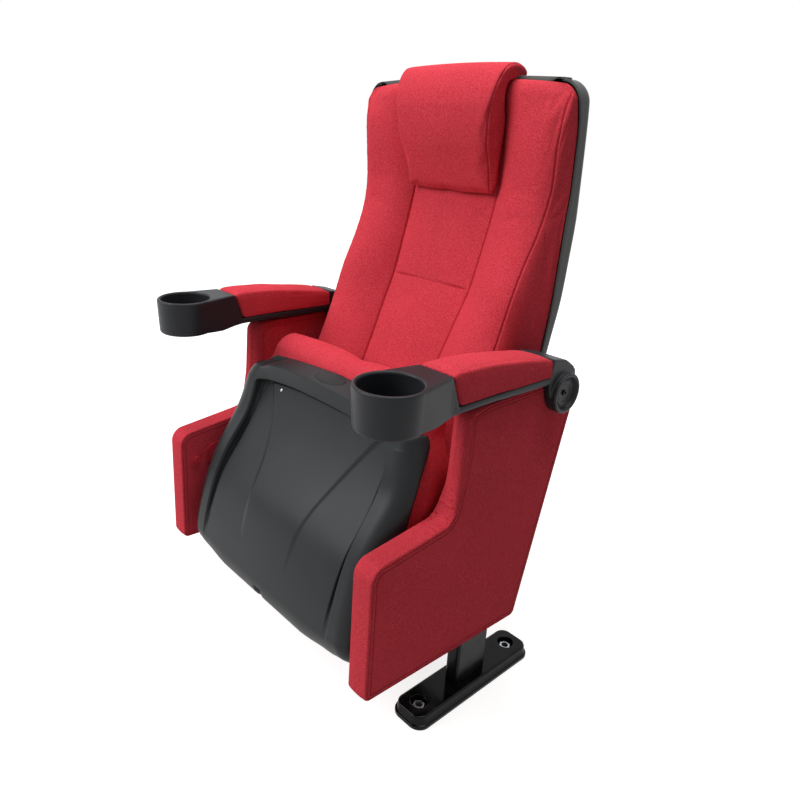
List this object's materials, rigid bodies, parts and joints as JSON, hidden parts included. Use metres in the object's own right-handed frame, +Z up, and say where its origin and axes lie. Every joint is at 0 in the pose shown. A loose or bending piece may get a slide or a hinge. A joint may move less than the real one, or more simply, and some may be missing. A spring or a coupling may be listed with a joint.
{
  "type": "tip up auditorium seat",
  "caption": "Upholstered auditorium seat whose cushion tips up on a side hinge, with liftable cup holder armrests, side panels and floor-bolted feet.",
  "frame": {"origin": "on the floor, in the middle of the four floor anchor holes", "axes": "+Z up, the sitter faces -Y, +X is the sitter's left; the seat is stored tipped up"},
  "size_m": [0.688, 0.547, 1.081],
  "materials": {
    "red_fabric": "woven red upholstery",
    "charcoal_plastic": "moulded, fine matt grain",
    "grey_plastic": "moulded, matt",
    "black_gloss": "gloss black",
    "black_steel": "satin black powder coat",
    "plywood": "bare plywood",
    "zinc_steel": "bright zinc",
    "stop_rubber": "matt",
    "bush_plastic": "natural nylon"
  },
  "bodies": {
    "frame": {"anchor_nuts": "zinc_steel", "anchor_washers": "zinc_steel", "arm_bush_left": "bush_plastic", "arm_bush_right": "bush_plastic", "arm_stop_left": "stop_rubber", "arm_stop_right": "stop_rubber", "back_board": "plywood", "back_bracket_left": "black_steel", "back_bracket_right": "black_steel", "back_cushion": "red_fabric", "back_screws": "zinc_steel", "back_shell": "grey_plastic", "cross_tube": "black_steel", "foot_cover_left": "black_gloss", "foot_cover_right": "black_gloss", "foot_plate_left": "black_steel", "foot_plate_right": "black_steel", "headrest_cushion": "red_fabric", "hinge_flange_left": "black_steel", "hinge_flange_right": "black_steel", "hinge_pin_left": "zinc_steel", "hinge_pin_right": "zinc_steel", "panel_core_left": "plywood", "panel_core_right": "plywood", "panel_edge_band_left": "red_fabric", "panel_edge_band_right": "red_fabric", "panel_inner_cover_left": "red_fabric", "panel_inner_cover_right": "red_fabric", "panel_outer_cover_left": "red_fabric", "panel_outer_cover_right": "red_fabric", "post_left": "black_steel", "post_right": "black_steel", "stop_buffers_left": "stop_rubber", "stop_buffers_right": "stop_rubber"},
    "seat": {"hinge_bracket_left": "black_steel", "hinge_bracket_right": "black_steel", "hinge_bush_left": "bush_plastic", "hinge_bush_right": "bush_plastic", "number_plate": "charcoal_plastic", "pan_screws": "zinc_steel", "seat_board": "plywood", "seat_cushion": "red_fabric", "seat_pan": "charcoal_plastic", "spring_barrel_left": "black_steel", "spring_barrel_right": "black_steel"},
    "armrest_left": {"arm_body_left": "charcoal_plastic", "arm_pad_left": "red_fabric", "arm_pin_left": "zinc_steel", "hub_cap_left": "charcoal_plastic"},
    "armrest_right": {"arm_body_right": "charcoal_plastic", "arm_pad_right": "red_fabric", "arm_pin_right": "zinc_steel", "hub_cap_right": "charcoal_plastic"}
  },
  "joints": [
    {"name": "seat_tip", "type": "hinge", "parent": "frame", "child": "seat", "pos_m": [0, -0.188, 0.306], "axis": [1, 0, 0], "range_deg": [0, 104], "stiffness_Nm_per_rad": 2.5, "springref_deg": -114.59},
    {"name": "armrest_lift_left", "type": "hinge", "parent": "frame", "child": "armrest_left", "pos_m": [0.29, 0.145, 0.554], "axis": [-1, 0, 0], "range_deg": [0, 75]},
    {"name": "armrest_lift_right", "type": "hinge", "parent": "frame", "child": "armrest_right", "pos_m": [-0.29, 0.145, 0.554], "axis": [-1, 0, 0], "range_deg": [0, 75]}
  ]
}
